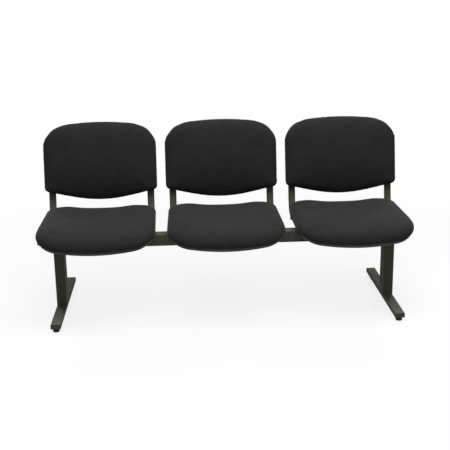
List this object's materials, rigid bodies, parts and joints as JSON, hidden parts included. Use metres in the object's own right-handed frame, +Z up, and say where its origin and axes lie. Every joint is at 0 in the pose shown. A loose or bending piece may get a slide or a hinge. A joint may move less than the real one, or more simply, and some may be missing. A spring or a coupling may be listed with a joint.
{
  "type": "visitor bench",
  "caption": "Beam bench for waiting rooms: a row of upholstered seats with separate backs on bent oval tubes, carried by a square beam on T-shaped legs with levelling feet.",
  "frame": {"origin": "on the floor under the middle of the bench's box", "axes": "+X along the beam to the viewer's right, +Y to the rear, so the seats face -Y, and +Z up"},
  "size_m": [1.5214, 0.5696, 0.7463],
  "materials": {
    "seat_fabric": "charcoal woven upholstery over foam",
    "shell_plastic": "fine-grained black polypropylene",
    "plywood": "raw moulded plywood",
    "frame_paint": "satin dark grey powder coat on steel",
    "cap_plastic": "moulded black",
    "glide_plastic": "moulded black",
    "zinc_steel": "zinc plated"
  },
  "bodies": {
    "bench": {"back_bolts": "zinc_steel", "back_tee_nuts": "zinc_steel", "beam": "frame_paint", "beam_end_caps": "cap_plastic", "left_back_board": "plywood", "left_back_cushion": "seat_fabric", "left_back_shell": "shell_plastic", "left_beam_cradle": "frame_paint", "left_column": "frame_paint", "left_foot_bar": "frame_paint", "left_foot_end_caps": "cap_plastic", "left_saddle_bracket": "frame_paint", "left_seat_board": "plywood", "left_seat_cushion": "seat_fabric", "left_seat_left_side_tube": "frame_paint", "left_seat_right_side_tube": "frame_paint", "left_seat_shell": "shell_plastic", "left_weld_nuts": "zinc_steel", "leg_bolts": "zinc_steel", "leg_nuts": "zinc_steel", "middle_back_board": "plywood", "middle_back_cushion": "seat_fabric", "middle_back_shell": "shell_plastic", "middle_saddle_bracket": "frame_paint", "middle_seat_board": "plywood", "middle_seat_cushion": "seat_fabric", "middle_seat_left_side_tube": "frame_paint", "middle_seat_right_side_tube": "frame_paint", "middle_seat_shell": "shell_plastic", "right_back_board": "plywood", "right_back_cushion": "seat_fabric", "right_back_shell": "shell_plastic", "right_beam_cradle": "frame_paint", "right_column": "frame_paint", "right_foot_bar": "frame_paint", "right_foot_end_caps": "cap_plastic", "right_saddle_bracket": "frame_paint", "right_seat_board": "plywood", "right_seat_cushion": "seat_fabric", "right_seat_left_side_tube": "frame_paint", "right_seat_right_side_tube": "frame_paint", "right_seat_shell": "shell_plastic", "right_weld_nuts": "zinc_steel", "saddle_bolts": "zinc_steel", "saddle_nuts": "zinc_steel", "seat_bolts": "zinc_steel", "seat_spacers": "cap_plastic", "seat_tee_nuts": "zinc_steel", "tube_plugs": "cap_plastic"},
    "front_left_leveller": {"front_left_glide": "glide_plastic", "front_left_levelling_stud": "zinc_steel"},
    "front_right_leveller": {"front_right_glide": "glide_plastic", "front_right_levelling_stud": "zinc_steel"},
    "rear_left_leveller": {"rear_left_glide": "glide_plastic", "rear_left_levelling_stud": "zinc_steel"},
    "rear_right_leveller": {"rear_right_glide": "glide_plastic", "rear_right_levelling_stud": "zinc_steel"}
  },
  "joints": [
    {"name": "front_left_levelling", "type": "slide", "parent": "bench", "child": "front_left_leveller", "axis": [0, 0, -1], "range_m": [0, 0.01]},
    {"name": "front_right_levelling", "type": "slide", "parent": "bench", "child": "front_right_leveller", "axis": [0, 0, -1], "range_m": [0, 0.01]},
    {"name": "rear_left_levelling", "type": "slide", "parent": "bench", "child": "rear_left_leveller", "axis": [0, 0, -1], "range_m": [0, 0.01]},
    {"name": "rear_right_levelling", "type": "slide", "parent": "bench", "child": "rear_right_leveller", "axis": [0, 0, -1], "range_m": [0, 0.01]}
  ]
}
